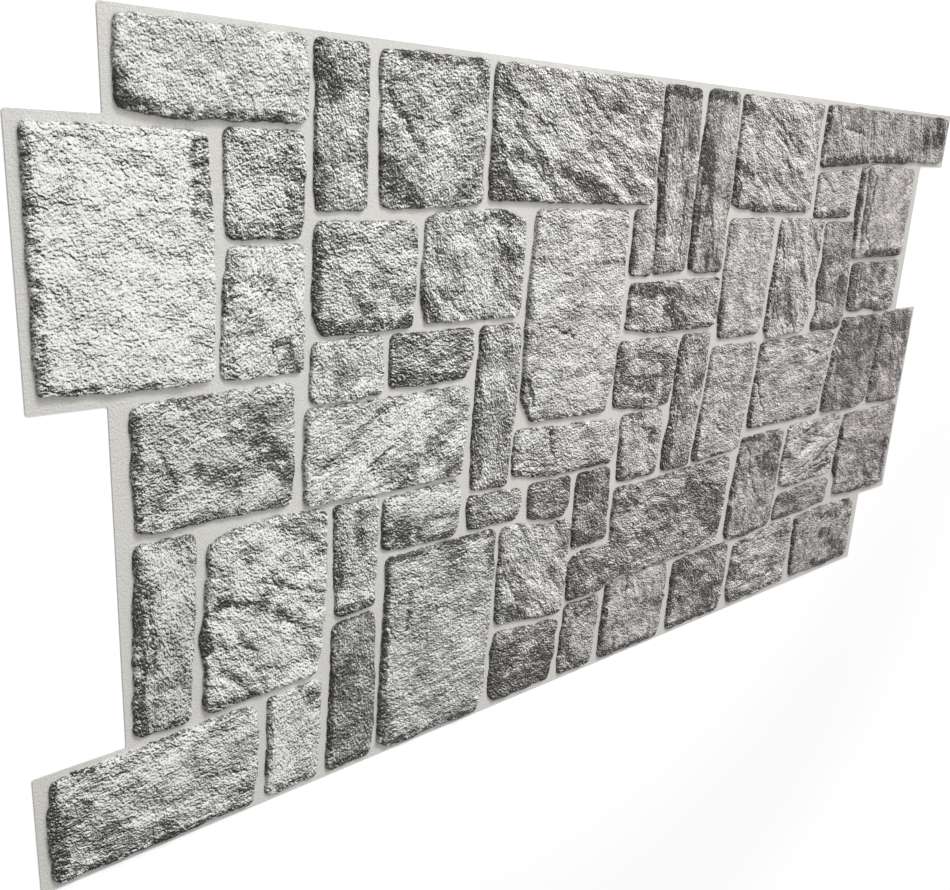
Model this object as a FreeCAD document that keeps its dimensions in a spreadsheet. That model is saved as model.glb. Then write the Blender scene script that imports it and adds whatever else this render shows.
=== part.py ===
import FreeCAD, Part
import math
import os

# Faux stone wall panel: one thin PVC sheet, vacuum formed into an irregular ashlar of stones
# with a flat web of grout between them, hollow behind every stone. Its two ends are stepped,
# so that the next panel's courses slide in between. It lies face up on its flat back.
# Lengths are in millimetres. The frame's origin is at the centre of the back.

# Driving sizes, each one cell of the sheet.
SIZES = {
    "panel_pitch": 920.0,
    "top_course_height": 53.0,
    "upper_course_height": 152.0,
    "lower_course_height": 214.0,
    "bottom_course_height": 79.0,
    "top_course_step": 60.0,
    "upper_course_step": 12.0,
    "lower_course_step": 55.0,
    "outline_radius": 1.5,
    "sheet_thickness": 0.5,
    "low_relief": 4.0,
    "middle_relief": 4.6,
    "high_relief": 5.2,
    "wall_draft": 18.0,
    "stone_radius": 4.5,
    "shoulder_bevel": 1.6,
}

# The levels and steps of the courses that the stones below were drawn on. Their points move
# with the courses, steps and pitch of the panel that is built, and the steps move only the
# stones within the end band.
DRAWN_HEIGHTS = [0.0, 79.0, 293.0, 445.0, 498.0]
DRAWN_STEPS = [0.0, 55.0, 12.0, 60.0]
END_MARGIN = 9.5
END_BAND = 60.0

# A turn smaller than this is a bend in a stone's side. A sharper corner is turned in flats,
# and takes up to this share of the shorter side next to it.
GENTLE_TURN = math.radians(25)
CORNER_FLATS = 3
CORNER_SHARE = 0.45

# Outlines of the stones at the web, clockwise from the top left corner, measured from the
# left end of the bottom course and the panel's lower edge.
HIGH_STONES = {
    "top_left_slab": [(67, 494), (178.5, 494), (178.5, 447), (92, 445), (67, 449)],
    "waved_slab": [(323, 494), (492, 494.5), (495, 470), (495, 402.5), (400, 403.5), (323, 405)],
    "top_right_slab": [
        (735, 494), (970.5, 494), (970.5, 449), (903, 449), (890, 446), (830, 446), (790, 442),
        (734, 438.5),
    ],
    "bright_block": [(19, 440), (116, 438.5), (118.5, 380), (117, 301.5), (100, 299.5), (18, 302)],
    "veined_block": [
        (180, 274.5), (313, 276), (313.5, 250), (308, 210.5), (250, 208.5), (179, 211),
        (177.5, 240),
    ],
    "tall_pale_block": [
        (370, 398.5), (467, 398.5), (468.5, 320), (466, 265), (459, 237.5), (378, 240),
        (366.5, 258), (366, 330),
    ],
    "mottled_block": [
        (822, 290), (896, 290), (894.5, 250), (887, 193), (865, 190), (803, 191.5), (803, 215),
        (811, 262),
    ],
    "right_smooth_block": [
        (856, 182), (964, 183), (964.5, 140), (963, 86), (910, 86.5), (855, 90.5), (857, 109),
        (849, 120), (849, 145),
    ],
    "ridged_block": [
        (111, 198), (125, 205), (157, 208), (194, 205.5), (195, 170), (192, 108), (187, 88),
        (150, 86), (105, 84), (107, 116), (103.5, 133), (108, 155),
    ],
    "bottom_left_slab": [
        (9, 74), (50, 75.5), (128, 79), (142, 76), (142.5, 45), (138, 5.5), (40, 4.5), (8, 6),
        (6, 35),
    ],
    "big_streaked_block": [
        (246, 158), (346, 159), (347.5, 125), (344.5, 60), (343, 20), (337, 5), (250, 5), (242, 12),
        (242, 45),
    ],
    "rib_edged_block": [
        (812, 441), (835, 443), (915, 441), (915.5, 400), (914.5, 352), (818, 352), (811, 400),
    ],
}
MIDDLE_STONES = {
    "ridge_block": [(230, 493), (316, 494), (316, 402), (290, 400), (232, 399)],
    "upper_tall_rib": [
        (500, 494), (542, 492.5), (546, 450), (545, 349), (506, 347), (505, 390), (500, 430),
    ],
    "upper_right_block": [(602, 493), (724, 493), (724, 397), (640, 397.5), (602, 403)],
    "dark_footed_cube": [(185, 391), (260, 391), (262, 370), (259.5, 321.5), (190, 321), (183.5, 335)],
    "cracked_cube": [
        (270, 393), (284, 398), (340, 398), (358, 392), (357.5, 322.5), (271, 323.5), (267, 345),
    ],
    "left_mottled_block": [
        (67, 291.5), (169, 293.5), (170, 245), (167, 215), (75, 214), (67.5, 217), (66, 250),
    ],
    "middle_lintel": [(479.5, 341), (597, 341), (597, 301), (590, 298.5), (520, 298.5), (478, 303)],
    "pale_upright": [(604, 391), (669.5, 392), (669, 330), (666, 286), (606, 286), (603, 305)],
    "cracked_upright": [
        (682, 391), (753, 391), (753, 370), (746.5, 300), (741, 282), (683, 281), (677, 289),
        (680, 338),
    ],
    "long_joined_block": [
        (484, 165), (545, 166), (646, 169.5), (648, 155), (646, 120), (643.5, 92), (638, 83),
        (603, 81.5), (484, 81), (477, 74), (435, 74), (433, 103), (437, 112), (450, 116.5),
        (484, 115),
    ],
    "streaked_cube": [
        (354.5, 158.5), (372, 157), (405, 150), (430.5, 150.5), (431, 108), (427, 66), (408, 68),
        (354, 76), (353, 110),
    ],
    "bottom_middle_block": [(485.5, 77), (569, 78.5), (569, 45), (563, 5), (484, 5), (482.5, 25)],
    "bottom_wavy_block": [
        (677, 70), (735, 78), (778, 79), (777, 45), (774, 8), (720, 6), (677, 6.5), (673, 25),
    ],
    "right_grained_block": [
        (677, 276.5), (760, 278), (803.5, 278), (799, 235), (791, 192), (672, 192.5), (671, 210),
        (675, 250),
    ],
    "right_upright": [
        (666, 182.5), (735.5, 184), (735, 150), (732.5, 95), (728, 82.5), (690, 77), (660, 80.5),
        (656, 88), (659, 130),
    ],
    "right_end_block": [
        (904, 290.5), (965.5, 291), (966.5, 250), (963, 188), (943, 187.5), (899, 191), (899, 225),
    ],
    "bottom_end_block": [
        (786, 77), (825, 80), (903, 77), (905.5, 50), (907, 12), (900, 7), (855, 6), (790, 8.5),
        (787, 40),
    ],
    "wave_ridge_block": [
        (748, 184), (845, 185), (845.5, 160), (842, 126), (835, 121), (757, 117), (743, 122),
        (742, 145),
    ],
    "left_tall_rib": [(66, 208.5), (102.5, 208), (100, 150), (95.5, 84), (60, 83.5), (63, 165)],
    "middle_pale_block": [
        (601, 279), (667, 277.5), (664, 230), (657.5, 176), (630, 173.5), (588, 172.5), (592, 205),
    ],
    "second_tall_rib": [
        (555, 494), (594, 494), (596, 470), (596, 346), (562, 346.5), (551, 350), (551, 430),
        (554, 467),
    ],
}
LOW_STONES = {
    "narrow_top_upright": [(184.5, 494), (221.5, 494), (221.5, 397.5), (185, 397.5)],
    "small_grained_cube": [(126, 442), (176, 441.5), (178.5, 424), (175, 381.5), (127, 381.5)],
    "diagonal_cube": [(128, 377.5), (177, 377.5), (177, 300), (122.5, 299.5), (123, 340)],
    "small_light_cube": [(183, 317), (237, 318.5), (238, 279), (212, 277), (182, 278)],
    "small_dark_cube": [(244, 317), (314.5, 317.5), (315.5, 295), (309, 281.5), (243, 281)],
    "bracket_rib": [(322.5, 317), (360.5, 317.5), (360.5, 255), (355, 192), (320, 195), (319.5, 250)],
    "short_infill": [(477, 398.5), (500, 399), (502.5, 372), (502.5, 347), (477, 346.5)],
    "half_dark_cube": [(473, 294), (546, 293.5), (547.5, 270), (543, 233.5), (505, 234), (471, 239)],
    "middle_rib": [
        (556, 294), (592, 293), (591.5, 265), (585.5, 215), (581.5, 171), (545, 171.5), (544, 192),
        (550, 222), (550, 265),
    ],
    "dark_spot_upright": [
        (760, 387.5), (810.5, 388), (813, 350), (817, 300), (812, 281.5), (758, 281.5), (765, 305),
        (759, 327), (763, 350),
    ],
    "upper_infill": [(735, 433), (800, 438), (806.5, 432), (803.5, 404), (797, 392), (736, 392)],
    "right_lintel": [
        (822, 346), (916.5, 346.5), (916.5, 296), (885, 294), (858, 299.5), (845, 296), (823, 299),
    ],
    "dark_infill": [
        (746, 110.5), (800, 113), (840, 112.5), (840, 100), (836, 86), (800, 83.5), (739, 83),
        (740, 97),
    ],
    "dark_square": [(436, 187.5), (475, 188), (477, 165), (476.5, 122.5), (436, 122)],
    "square_infill": [
        (485, 230), (535, 230.5), (538, 220), (537.5, 190), (534, 171.5), (486, 171.5), (484, 190),
    ],
    "flat_lintel": [
        (363, 235), (413, 232), (475, 229), (479.5, 222), (478.5, 200), (472, 191.5), (400, 192),
        (362, 198.5), (361.5, 215),
    ],
    "small_dark_infill": [
        (381, 187.5), (427, 187.5), (427.5, 165), (421, 155), (405, 154.5), (381.5, 160),
    ],
    "narrow_infill": [(317.5, 190.5), (346, 188.5), (372, 188), (373, 175), (369, 162.5), (319, 163.5)],
    "pale_lintel": [(241, 203), (307, 205.5), (311, 190), (307, 163), (262, 163), (241, 165)],
    "dark_upright": [(201, 205.5), (237, 206.5), (236.5, 160), (234.5, 126), (203, 124)],
    "smooth_upright": [
        (202, 119.5), (235, 121), (237, 75), (237.5, 30), (234, 5), (197, 5), (198.5, 40),
    ],
    "bottom_left_cube": [(151, 79.5), (192, 80.5), (191, 41), (188.5, 5), (149, 5), (150, 41)],
    "low_dark_cube": [
        (354.5, 67.5), (372, 66.5), (397, 62), (426, 60.5), (424.5, 35), (420, 6), (357, 5.5),
        (351.5, 12), (351.5, 50),
    ],
    "narrow_bottom_cube": [(435, 69), (475, 70), (475.5, 50), (471, 5), (431, 5), (432, 35)],
    "bottom_dark_block": [
        (579.5, 75), (603, 76.5), (663, 76.5), (665, 50), (663.5, 20), (658, 5), (579, 5),
        (578.5, 40),
    ],
}
# The drawing's right-hand edge lies a margin beyond its last stone, which is in the top course.
last_stone_end = max(x for stones in (HIGH_STONES, MIDDLE_STONES, LOW_STONES)
                     for points in stones.values() for x, _ in points)
drawn_pitch = last_stone_end + END_MARGIN - DRAWN_STEPS[-1]

doc = FreeCAD.newDocument("wall_panel")
sheet = doc.addObject("Spreadsheet::Sheet", "Sizes")
for row, (alias, value) in enumerate(SIZES.items(), start=1):
    sheet.set(f"A{row}", alias)
    sheet.set(f"B{row}", str(value))
    sheet.setAlias(f"B{row}", alias)
doc.recompute()


def size(alias):
    """The value of one cell of the sheet."""
    return float(getattr(sheet, alias))


# Courses from the bottom up: their heights, and how far each one's left end stands in.
course_heights = [size(f"{name}_course_height") for name in ("bottom", "lower", "upper", "top")]
course_levels = [sum(course_heights[:count]) for count in range(5)]
course_steps = [0.0] + [size(f"{name}_course_step") for name in ("lower", "upper", "top")]
panel_length = size("panel_pitch") + max(course_steps)
panel_width = course_levels[-1]


def in_frame(x, y):
    """A point of the layout, moved to the frame's origin at the panel's centre."""
    return FreeCAD.Vector(x - panel_length / 2, y - panel_width / 2, 0)


def follow_courses(x, y):
    """A point of the stone drawing, moved with the courses, steps and pitch of this panel."""
    course = max(index for index in range(4) if y >= DRAWN_HEIGHTS[index])
    within = (y - DRAWN_HEIGHTS[course]) / (DRAWN_HEIGHTS[course + 1] - DRAWN_HEIGHTS[course])
    level = course_levels[course] + within * course_heights[course]
    from_end = min(x - DRAWN_STEPS[course], DRAWN_STEPS[course] + drawn_pitch - x)
    end_share = min(1.0, max(0.0, 1.0 - from_end / END_BAND))
    step_change = course_steps[course] - DRAWN_STEPS[course]
    return x * size("panel_pitch") / drawn_pitch + end_share * step_change, level


def eased_outline(points, radius, flats):
    """The outline through the points, with each sharp corner turned in a few equal flats."""
    outline = []
    count = len(points)
    for index in range(count):
        corner = points[index]
        arriving = corner - points[index - 1]
        leaving = points[(index + 1) % count] - corner
        room = CORNER_SHARE * min(arriving.Length, leaving.Length)
        arriving.normalize()
        leaving.normalize()
        turn = math.atan2(arriving.y * leaving.x - arriving.x * leaving.y, arriving.dot(leaving))
        if abs(turn) < GENTLE_TURN:
            outline.append(corner)
            continue
        cut_back = min(radius * math.tan(abs(turn) / 2), room)
        arc_radius = cut_back / math.tan(abs(turn) / 2) * math.copysign(1, turn)
        start = corner - arriving * cut_back
        inward = FreeCAD.Vector(arriving.y, -arriving.x, 0)
        centre = start + inward * arc_radius
        for step in range(flats + 1):
            swing = FreeCAD.Rotation(FreeCAD.Vector(0, 0, -1), math.degrees(turn * step / flats))
            outline.append(centre + swing.multVec(start - centre))
    return outline


def ring(outline, inset, height):
    """The outline moved inwards by the inset, at a height."""
    spots = []
    count = len(outline)
    for index in range(count):
        arriving = (outline[index] - outline[index - 1]).normalize()
        leaving = (outline[(index + 1) % count] - outline[index]).normalize()
        inward = FreeCAD.Vector(arriving.y + leaving.y, -arriving.x - leaving.x, 0)
        spot = outline[index] + inward * (inset / (1 + arriving.dot(leaving)))
        spots.append(FreeCAD.Vector(spot.x, spot.y, height))
    return spots


def formed_block(rings):
    """A solid with a flat end at the first and last ring and a flat side between all others."""
    faces = [Part.Face(Part.makePolygon(spots + spots[:1])) for spots in (rings[0], rings[-1])]
    for lower, upper in zip(rings, rings[1:]):
        for index in range(len(lower)):
            side = [lower[index - 1], lower[index], upper[index], upper[index - 1], lower[index - 1]]
            faces.append(Part.Face(Part.makePolygon(side)))
    return Part.makeSolid(Part.makeShell(faces))


def raised_form(outline, foot_inset, depth, height, bevel):
    """A stone's form: a foot below the web, drafted sides, and a bevelled shoulder to its crown."""
    draft = math.tan(math.radians(size("wall_draft")))
    shoulder_inset = foot_inset + (height - bevel) * draft
    return formed_block([
        ring(outline, foot_inset - depth * draft, -depth),
        ring(outline, shoulder_inset, height - bevel),
        ring(outline, shoulder_inset + bevel, height),
    ])


wall = size("sheet_thickness")
shoulder = size("shoulder_bevel")

# The flat sheet, cut to its stepped outline.
flat_sheet = doc.addObject("PartDesign::Body", "flat_sheet")
outline_sketch = flat_sheet.newObject("Sketcher::SketchObject", "sheet_outline")
back_plane = next(item for item in flat_sheet.Origin.OriginFeatures if item.Role == "XY_Plane")
outline_sketch.AttachmentSupport = [(back_plane, "")]
outline_sketch.MapMode = "FlatFace"
left_side = []
for course, step in enumerate(course_steps):
    left_side.append((step, course_levels[course]))
    left_side.append((step, course_levels[course + 1]))
right_side = [(x + size("panel_pitch"), y) for x, y in reversed(left_side)]
outline_points = [in_frame(x, y) for x, y in left_side + right_side]
arc_points = eased_outline(outline_points, size("outline_radius"), 2)
for index in range(0, len(arc_points), 3):
    start, middle, end = arc_points[index:index + 3]
    outline_sketch.addGeometry(Part.LineSegment(arc_points[index - 1], start), False)
    outline_sketch.addGeometry(Part.Arc(start, middle, end), False)
web = flat_sheet.newObject("PartDesign::Pad", "web")
web.Profile = outline_sketch
web.setExpression("Length", "Sizes.sheet_thickness")

# Every stone's outer form, rooted in the web, and the hollow behind it, one wall smaller.
stone_forms = []
hollow_forms = []
hollow_inset = wall / math.cos(math.radians(size("wall_draft")))
reliefs = [
    (HIGH_STONES, size("high_relief")),
    (MIDDLE_STONES, size("middle_relief")),
    (LOW_STONES, size("low_relief")),
]
for stones, relief in reliefs:
    for points in stones.values():
        corners = [in_frame(*follow_courses(x, y)) for x, y in points]
        outline = eased_outline(corners, size("stone_radius"), CORNER_FLATS)
        stone_forms.append(raised_form(outline, 0, -wall / 2, relief + wall, shoulder))
        hollow_forms.append(raised_form(outline, hollow_inset, wall, relief, shoulder - wall / 2))

stone_faces = doc.addObject("Part::Feature", "stone_faces")
stone_faces.Shape = Part.makeCompound(stone_forms)
stone_hollows = doc.addObject("Part::Feature", "stone_hollows")
stone_hollows.Shape = Part.makeCompound(hollow_forms)
raised_sheet = doc.addObject("Part::MultiFuse", "raised_sheet")
raised_sheet.Refine = False
raised_sheet.Shapes = [flat_sheet, stone_faces]
panel = doc.addObject("Part::Cut", "wall_panel")
panel.Label = "wall_panel"
panel.Refine = False
panel.Base = raised_sheet
panel.Tool = stone_hollows
doc.recompute()

for item in doc.Objects:
    if "Invalid" in item.State or "Error" in item.State:
        raise RuntimeError(f"{item.Name} failed")
if panel.Shape.isNull() or not panel.Shape.isValid():
    raise RuntimeError("the panel has no valid shape")
os.makedirs("parts", exist_ok=True)
panel.Shape.exportStep("parts/wall_panel.step")
print(f"{panel.Label}: {len(panel.Shape.Solids)} solid, {panel.Shape.Volume:.0f} mm3")
print(panel.Shape.BoundBox)
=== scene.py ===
import math

import bmesh
import bpy
import numpy as np
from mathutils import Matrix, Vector


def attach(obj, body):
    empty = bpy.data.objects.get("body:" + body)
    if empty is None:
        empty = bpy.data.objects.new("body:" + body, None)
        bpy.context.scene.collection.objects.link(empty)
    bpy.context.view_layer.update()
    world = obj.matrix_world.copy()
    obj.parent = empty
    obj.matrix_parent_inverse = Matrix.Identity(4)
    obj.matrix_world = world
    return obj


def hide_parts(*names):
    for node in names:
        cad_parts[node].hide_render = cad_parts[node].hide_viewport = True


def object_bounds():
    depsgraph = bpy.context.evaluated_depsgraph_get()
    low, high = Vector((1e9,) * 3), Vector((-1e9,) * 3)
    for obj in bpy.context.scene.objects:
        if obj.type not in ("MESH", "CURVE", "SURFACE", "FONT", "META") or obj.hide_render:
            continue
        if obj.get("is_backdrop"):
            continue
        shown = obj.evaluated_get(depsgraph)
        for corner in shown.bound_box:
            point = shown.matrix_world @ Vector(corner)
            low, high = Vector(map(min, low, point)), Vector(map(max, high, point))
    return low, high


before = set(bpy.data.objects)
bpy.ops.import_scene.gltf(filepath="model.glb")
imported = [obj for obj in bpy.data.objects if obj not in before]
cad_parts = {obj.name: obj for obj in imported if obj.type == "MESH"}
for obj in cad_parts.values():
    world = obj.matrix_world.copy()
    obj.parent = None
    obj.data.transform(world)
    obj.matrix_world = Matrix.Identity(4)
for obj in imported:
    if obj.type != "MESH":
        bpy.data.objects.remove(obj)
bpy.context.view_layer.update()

# The camera stands close to the panel's left end and looks along it, as the photo does.
# Its place and direction were fitted to the panel's corners in the photo. The panel lies face
# up, so the camera looks down on it.
camera_data = bpy.data.cameras.new("camera")
camera_data.sensor_width = 36.0
camera_data.lens = 37.716
camera_data.clip_start = 0.01
CAMERA_PLACE = Vector((-0.63111, 0.18970, 0.52485))
CAMERA_TURN = (-19.267, -40.547, 4.024)
camera = bpy.data.objects.new("camera", camera_data)
camera.location = CAMERA_PLACE
camera.rotation_euler = [math.radians(turn) for turn in CAMERA_TURN]
bpy.context.scene.collection.objects.link(camera)
bpy.context.scene.camera = camera
bpy.context.scene.view_settings.view_transform = "Standard"

# The studio: a plain pale floor and world that read as white to the camera, a soft high key light
# from the panel's upper side, a softbox there, and one over the panel, whose reflection gives the
# glare on the left stones. The floor's glow for the camera is least near the panel.
bpy.ops.object.select_all(action="DESELECT")
bpy.ops.mesh.primitive_plane_add(size=14.0, location=(0, 0, -0.0005))
floor = bpy.context.active_object
floor.name = "studio_floor"
floor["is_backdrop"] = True
floor_paint = bpy.data.materials.new("floor_paint")
floor_paint.use_nodes = True
floor_nodes = floor_paint.node_tree
floor_shader = floor_nodes.nodes["Principled BSDF"]
floor_shader.inputs["Base Color"].default_value = (0.9, 0.9, 0.9, 1)
floor_shader.inputs["Roughness"].default_value = 0.9
floor_shader.inputs["Emission Color"].default_value = (1, 1, 1, 1)
floor_place = floor_nodes.nodes.new("ShaderNodeTexCoord")
from_panel = floor_nodes.nodes.new("ShaderNodeVectorMath")
from_panel.operation = "LENGTH"
floor_nodes.links.new(floor_place.outputs["Object"], from_panel.inputs[0])
farther = floor_nodes.nodes.new("ShaderNodeMapRange")
farther.interpolation_type = "SMOOTHSTEP"
for label, setting in (("From Min", 0.5), ("From Max", 1.2), ("To Min", 0.13), ("To Max", 0.42)):
    farther.inputs[label].default_value = setting
floor_nodes.links.new(from_panel.outputs["Value"], farther.inputs["Value"])
seen_by = floor_nodes.nodes.new("ShaderNodeLightPath")
glow = floor_nodes.nodes.new("ShaderNodeMath")
glow.operation = "MULTIPLY"
floor_nodes.links.new(seen_by.outputs["Is Camera Ray"], glow.inputs[0])
floor_nodes.links.new(farther.outputs["Result"], glow.inputs[1])
floor_nodes.links.new(glow.outputs["Value"], floor_shader.inputs["Emission Strength"])
floor.data.materials.append(floor_paint)

world = bpy.data.worlds.new("studio")
bpy.context.scene.world = world
world.use_nodes = True
world_nodes = world.node_tree
world_nodes.nodes["Background"].inputs["Color"].default_value = (1, 1, 1, 1)
world_seen_by = world_nodes.nodes.new("ShaderNodeLightPath")
world_light = world_nodes.nodes.new("ShaderNodeMath")
world_light.operation = "MULTIPLY_ADD"
WORLD_STRENGTH = 0.36
world_light.inputs[1].default_value = 1 - WORLD_STRENGTH
world_light.inputs[2].default_value = WORLD_STRENGTH
world_nodes.links.new(world_seen_by.outputs["Is Camera Ray"], world_light.inputs[0])
world_nodes.links.new(world_light.outputs["Value"], world_nodes.nodes["Background"].inputs["Strength"])

key_data = bpy.data.lights.new("key_light", "SUN")
key_data.energy = 1.5
key_data.angle = math.radians(14)
key = bpy.data.objects.new("key_light", key_data)
key.rotation_euler = Vector((-0.22, -0.80, -0.62)).to_track_quat("-Z", "Y").to_euler()
bpy.context.scene.collection.objects.link(key)

upper_data = bpy.data.lights.new("upper_box", "AREA")
upper_data.size = 0.6
upper_data.energy = 4.5
upper = bpy.data.objects.new("upper_box", upper_data)
upper.location = (0.0, 0.75, 0.75)
upper.rotation_euler = (Vector((-0.1, 0.1, 0)) - upper.location).to_track_quat("-Z", "Y").to_euler()
bpy.context.scene.collection.objects.link(upper)

glare_data = bpy.data.lights.new("glare_box", "AREA")
glare_data.size = 0.7
glare_data.energy = 5
glare = bpy.data.objects.new("glare_box", glare_data)
glare.location = (0.05, 0.05, 1.35)
glare.rotation_euler = (Vector((-0.38, 0.08, 0)) - glare.location).to_track_quat("-Z", "Y").to_euler()
bpy.context.scene.collection.objects.link(glare)

# The grout web: the flat part of the formed sheet between the stones. It is one thin PVC sheet,
# printed light grey, with an embossed pebbled grain on its face, and open behind every stone.
MM = 0.001
WEB_THICKNESS = 0.5
FRAME_OFFSET = np.array([490.0, 249.0])
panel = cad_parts["wall_panel"]
web_mesh = bmesh.new()
web_mesh.from_mesh(panel.data)
bmesh.ops.remove_doubles(web_mesh, verts=web_mesh.verts, dist=1e-6)
raised = []
for face in web_mesh.faces:
    if max(vert.co.z for vert in face.verts) > (WEB_THICKNESS + 0.01) * MM:
        raised.append(face)
bmesh.ops.delete(web_mesh, geom=raised, context="FACES")


def open_loops(mesh):
    """The open edges of a mesh as closed runs of vertices, each in order."""
    edges = {edge for edge in mesh.edges if edge.is_boundary}
    loops = []
    while edges:
        edge = edges.pop()
        loop = [edge.verts[0], edge.verts[1]]
        while loop[-1] is not loop[0]:
            following = next(side for side in loop[-1].link_edges if side in edges)
            edges.remove(following)
            loop.append(following.other_vert(loop[-1]))
        loops.append(loop[:-1])
    return loops


def loop_middle(loop):
    return sum((vert.co.xy for vert in loop), Vector((0, 0))) / len(loop)


loops = open_loops(web_mesh)
foot_loops = [loop for loop in loops if loop[0].co.z > WEB_THICKNESS / 2 * MM]
hollow_loops = [loop for loop in loops if loop[0].co.z < WEB_THICKNESS / 2 * MM]
stone_outlines = []
for foot in foot_loops:
    middle = loop_middle(foot)
    hollow = min(hollow_loops, key=lambda loop: (loop_middle(loop) - middle).length)
    rim = set(foot) | set(hollow)
    edges = []
    for edge in web_mesh.edges:
        if edge.is_boundary and edge.verts[0] in rim and edge.verts[1] in rim:
            edges.append(edge)
    bmesh.ops.bridge_loops(web_mesh, edges=edges)
    stone_outlines.append(np.array([vert.co.xy[:] for vert in foot]) / MM + FRAME_OFFSET)
bmesh.ops.recalc_face_normals(web_mesh, faces=web_mesh.faces)
web_data = bpy.data.meshes.new("grout_web")
web_mesh.to_mesh(web_data)
web_mesh.free()
grout_web = bpy.data.objects.new("grout_web", web_data)
bpy.context.scene.collection.objects.link(grout_web)
face_up = np.empty(len(web_data.vertices) * 3, np.float32)
web_data.vertices.foreach_get("co", face_up)
web_print = (face_up.reshape(-1, 3)[:, 2] > WEB_THICKNESS / 2 * MM).astype(np.float32)
web_data.attributes.new("printed", "FLOAT", "POINT").data.foreach_set("value", web_print)


def formed_grain():
    """Pebbled grain of the embossing roller, with a height and a fine speckle of ink."""
    group = bpy.data.node_groups.new("formed_grain", "ShaderNodeTree")
    group.interface.new_socket("Place", in_out="INPUT", socket_type="NodeSocketVector")
    group.interface.new_socket("Pebble Scale", in_out="INPUT", socket_type="NodeSocketFloat")
    group.interface.new_socket("Height", in_out="OUTPUT", socket_type="NodeSocketFloat")
    group.interface.new_socket("Speckle", in_out="OUTPUT", socket_type="NodeSocketFloat")
    entry = group.nodes.new("NodeGroupInput")
    exit_node = group.nodes.new("NodeGroupOutput")
    pebbles = group.nodes.new("ShaderNodeTexNoise")
    pebbles.inputs["Detail"].default_value = 2.0
    pebbles.inputs["Roughness"].default_value = 0.55
    group.links.new(entry.outputs["Place"], pebbles.inputs["Vector"])
    group.links.new(entry.outputs["Pebble Scale"], pebbles.inputs["Scale"])
    finer = group.nodes.new("ShaderNodeMath")
    finer.operation = "MULTIPLY"
    finer.inputs[1].default_value = 2.7
    group.links.new(entry.outputs["Pebble Scale"], finer.inputs[0])
    specks = group.nodes.new("ShaderNodeTexNoise")
    specks.inputs["Detail"].default_value = 3.0
    specks.inputs["Roughness"].default_value = 0.7
    group.links.new(entry.outputs["Place"], specks.inputs["Vector"])
    group.links.new(finer.outputs["Value"], specks.inputs["Scale"])
    mixed = group.nodes.new("ShaderNodeMath")
    mixed.operation = "MULTIPLY_ADD"
    mixed.inputs[1].default_value = 0.35
    group.links.new(specks.outputs["Fac"], mixed.inputs[0])
    group.links.new(pebbles.outputs["Fac"], mixed.inputs[2])
    group.links.new(mixed.outputs["Value"], exit_node.inputs["Height"])
    group.links.new(specks.outputs["Fac"], exit_node.inputs["Speckle"])
    return group


GRAIN_GROUP = formed_grain()


def sheet_material(name):
    """A material of the formed sheet, with its nodes ready to wire."""
    material = bpy.data.materials.new(name)
    material.use_nodes = True
    return material, material.node_tree, material.node_tree.nodes["Principled BSDF"]


def attribute_node(tree, name):
    node = tree.nodes.new("ShaderNodeAttribute")
    node.attribute_name = name
    return node


def math_node(tree, operation, first, second, third=None, clamp=False):
    """A Math node whose inputs are numbers or the outputs of other nodes."""
    node = tree.nodes.new("ShaderNodeMath")
    node.operation = operation
    node.use_clamp = clamp
    for socket, value in zip(node.inputs, (first, second, third)):
        if isinstance(value, (int, float)):
            socket.default_value = value
        elif value is not None:
            tree.links.new(value, socket)
    return node.outputs["Value"]


def ramp_node(tree, value, stops):
    """A colour ramp with greys or colours at the given positions."""
    node = tree.nodes.new("ShaderNodeValToRGB")
    while len(node.color_ramp.elements) < len(stops):
        node.color_ramp.elements.new(0.5)
    for element, (position, colour) in zip(node.color_ramp.elements, stops):
        element.position = position
        element.color = (*colour, 1)
    tree.links.new(value, node.inputs["Fac"])
    return node.outputs["Color"]


def mix_colours(tree, share, first, second):
    node = tree.nodes.new("ShaderNodeMix")
    node.data_type = "RGBA"
    tree.links.new(share, node.inputs["Factor"])
    for socket, value in ((node.inputs[6], first), (node.inputs[7], second)):
        if isinstance(value, tuple):
            socket.default_value = (*value, 1)
        else:
            tree.links.new(value, socket)
    return node.outputs[2]


def grain_bump(tree, shader, height, depth):
    bump = tree.nodes.new("ShaderNodeBump")
    bump.inputs["Distance"].default_value = depth
    tree.links.new(height, bump.inputs["Height"])
    tree.links.new(bump.outputs["Normal"], shader.inputs["Normal"])


PLAIN_PVC = (0.72, 0.72, 0.71)
grout_print, tree, shader = sheet_material("grout_print")
place = tree.nodes.new("ShaderNodeTexCoord")
grain = tree.nodes.new("ShaderNodeGroup")
grain.node_tree = GRAIN_GROUP
grain.inputs["Pebble Scale"].default_value = 700.0
tree.links.new(place.outputs["Object"], grain.inputs["Place"])
grout_colour = ramp_node(tree, grain.outputs["Speckle"], [
    (0.32, (0.36, 0.352, 0.332)),
    (0.46, (0.58, 0.568, 0.535)),
    (0.60, (0.68, 0.668, 0.632)),
])
printed = attribute_node(tree, "printed")
coloured = mix_colours(tree, printed.outputs["Fac"], PLAIN_PVC, grout_colour)
tree.links.new(coloured, shader.inputs["Base Color"])
shader.inputs["Roughness"].default_value = 0.55
grain_bump(tree, shader, grain.outputs["Height"], 0.0006)
web_data.materials.append(grout_print)
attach(grout_web, "root")
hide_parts("wall_panel")

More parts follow.
